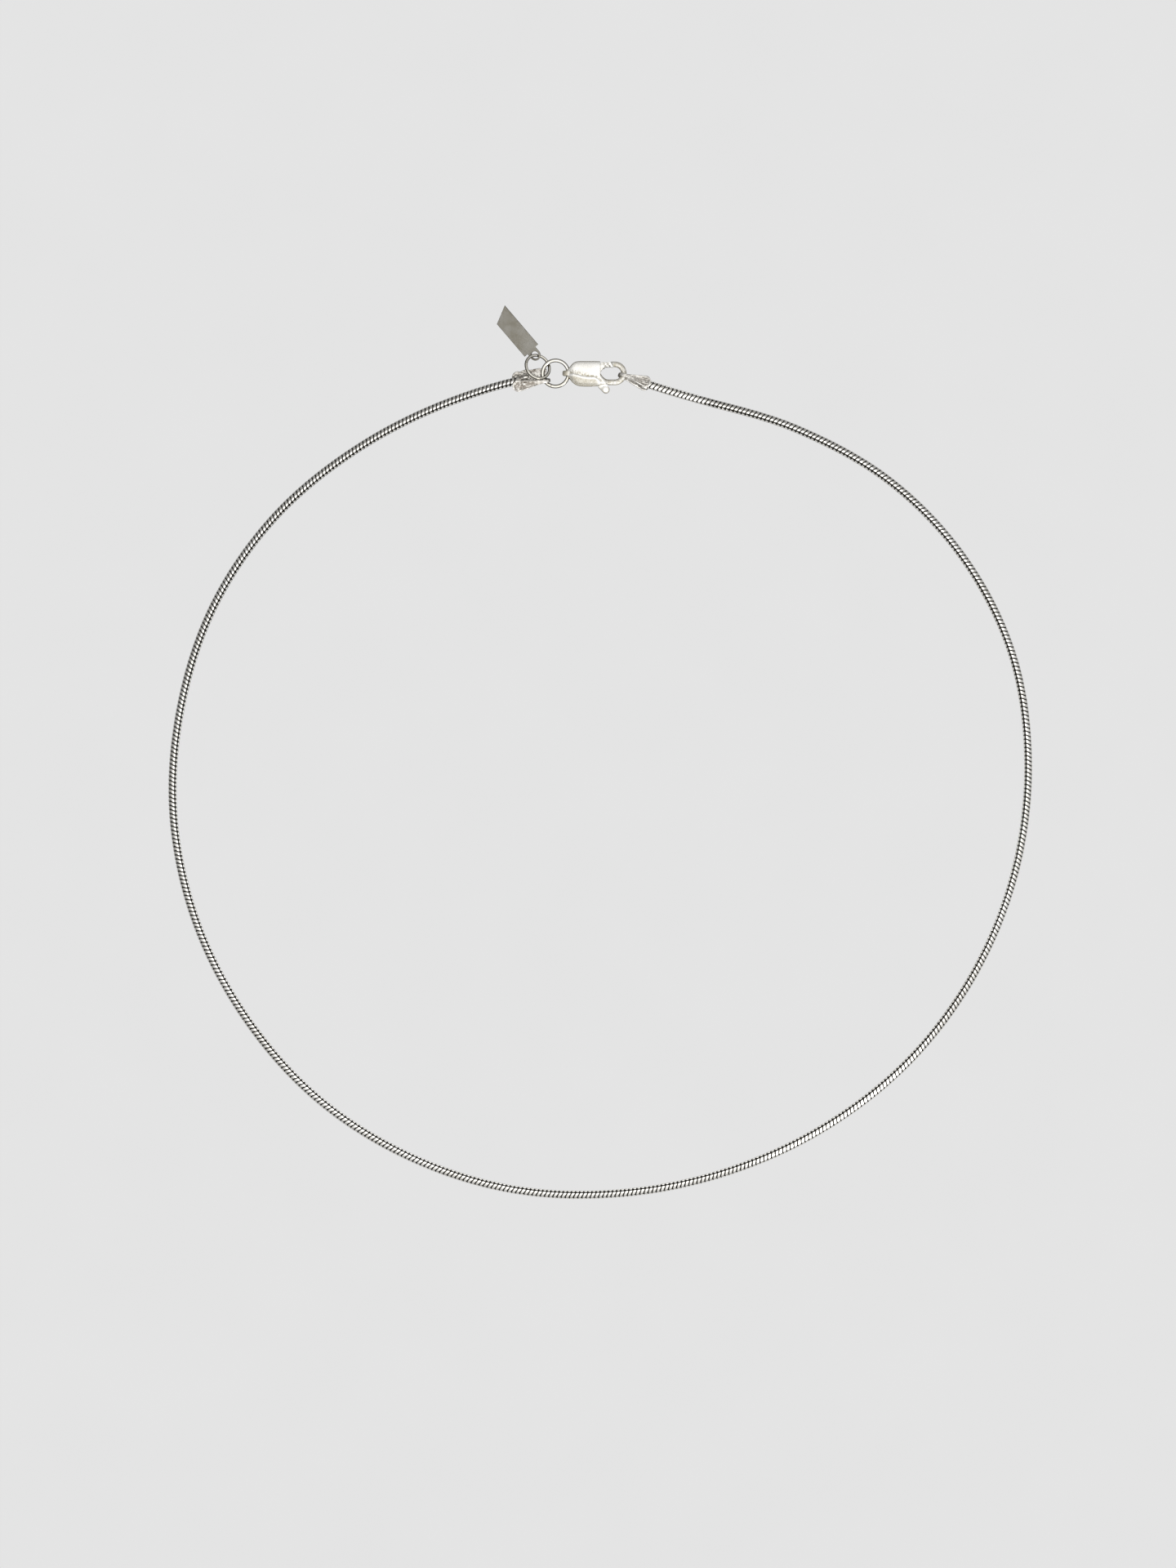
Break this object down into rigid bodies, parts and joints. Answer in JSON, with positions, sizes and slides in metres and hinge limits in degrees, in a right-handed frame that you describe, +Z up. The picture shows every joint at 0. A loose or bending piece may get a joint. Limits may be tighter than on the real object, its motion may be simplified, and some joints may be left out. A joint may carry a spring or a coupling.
{
  "type": "snake chain necklace",
  "caption": "Round snake chain necklace with soldered sheet end caps, jump ring, hanging tag and sprung lobster clasp, lying fastened in a loop.",
  "frame": {"origin": "centre of the necklace's bounding box, on the surface that it lies on", "axes": "+Z up out of the surface, +Y from the middle of the loop towards the clasp, +X from the clasp's eye towards its hook"},
  "size_m": [0.15, 0.1552, 0.0029],
  "materials": {
    "chain_silver": "mirror-bright silver links, darker in the gaps between them",
    "cap_silver": "polished silver sheet with soft solder marks and a faint warm tint",
    "ring_silver": "polished round silver wire",
    "tag_silver": "grey satin stamped plate with a darker edge",
    "clasp_silver": "tumbled bright cast silver",
    "lever_silver": "cast silver, a little lumpy at the gate"
  },
  "bodies": {
    "necklace": {"snake_chain": "chain_silver", "end_cap_left": "cap_silver", "end_cap_right": "cap_silver", "jump_ring": "ring_silver", "tag_ring": "ring_silver", "tag": "tag_silver", "clasp_body": "clasp_silver"},
    "lever": {"clasp_lever": "lever_silver"}
  },
  "joints": [
    {"name": "lever_hinge", "type": "hinge", "parent": "necklace", "child": "lever", "pos_m": [-0.00089, 0.06555, 0.00145], "axis": [0, 0, -1], "range_deg": [0, 25], "stiffness_Nm_per_rad": 0.004, "springref_deg": -5.73}
  ]
}
